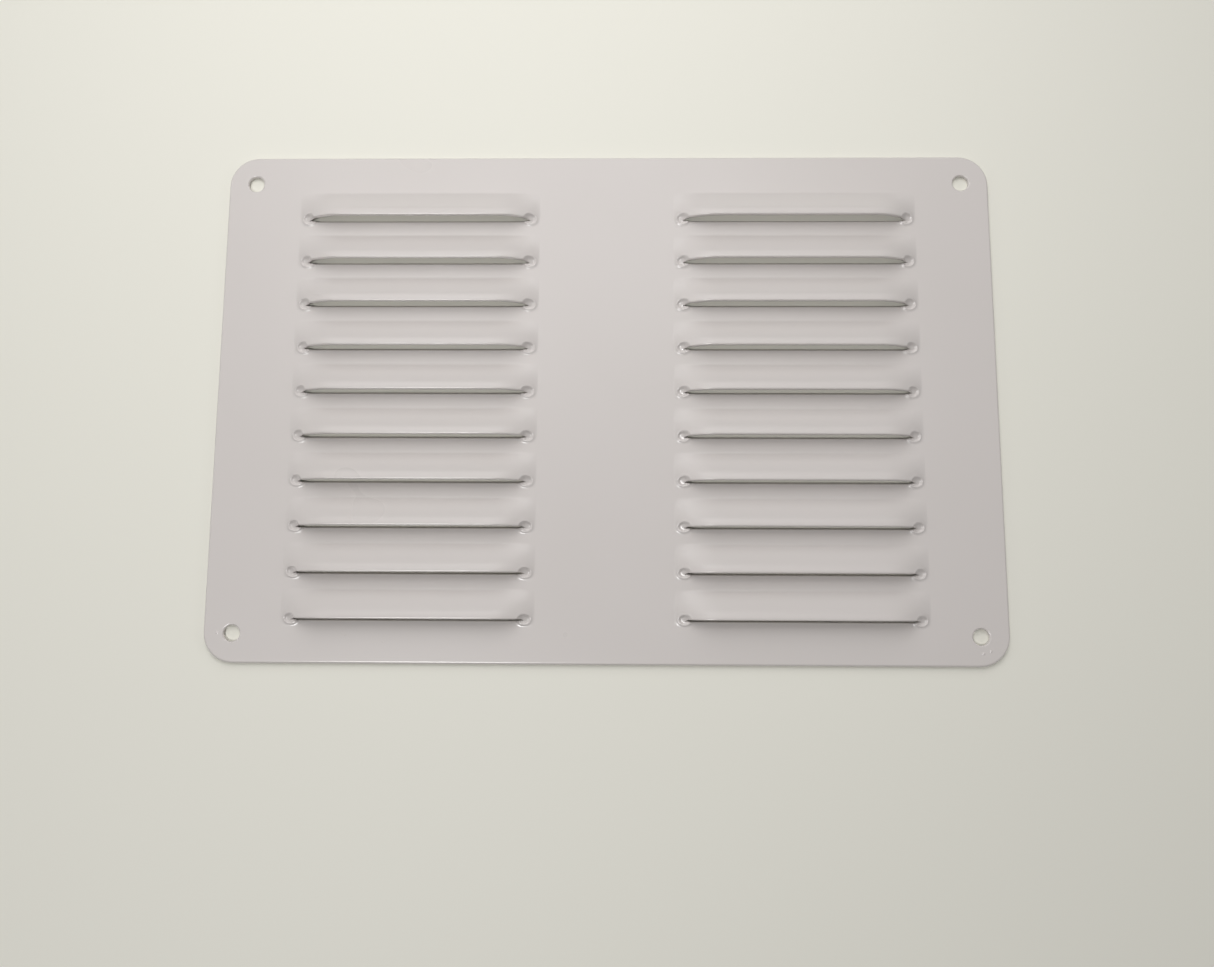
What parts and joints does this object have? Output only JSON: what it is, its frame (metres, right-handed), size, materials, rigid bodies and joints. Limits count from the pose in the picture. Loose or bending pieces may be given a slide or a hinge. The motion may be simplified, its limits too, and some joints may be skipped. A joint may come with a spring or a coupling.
{
  "type": "louvred vent cover",
  "caption": "Flat rectangular vent cover of painted sheet metal, with columns of pressed louvres either side of a plain middle and a screw hole in each corner.",
  "frame": {"origin": "centre of the flat underside, the face that lies on the wall or roof skin", "axes": "+X along the louvres, +Y from each louvre's open lip towards its closed back (up when it hangs on a wall with the lips downwards), +Z out of the louvred face"},
  "size_m": [0.26, 0.172, 0.0066],
  "materials": {
    "powder_coat": "semi-gloss powder coat, light grey white"
  },
  "bodies": {
    "root": {"louvre_plate": "powder_coat"}
  },
  "joints": []
}
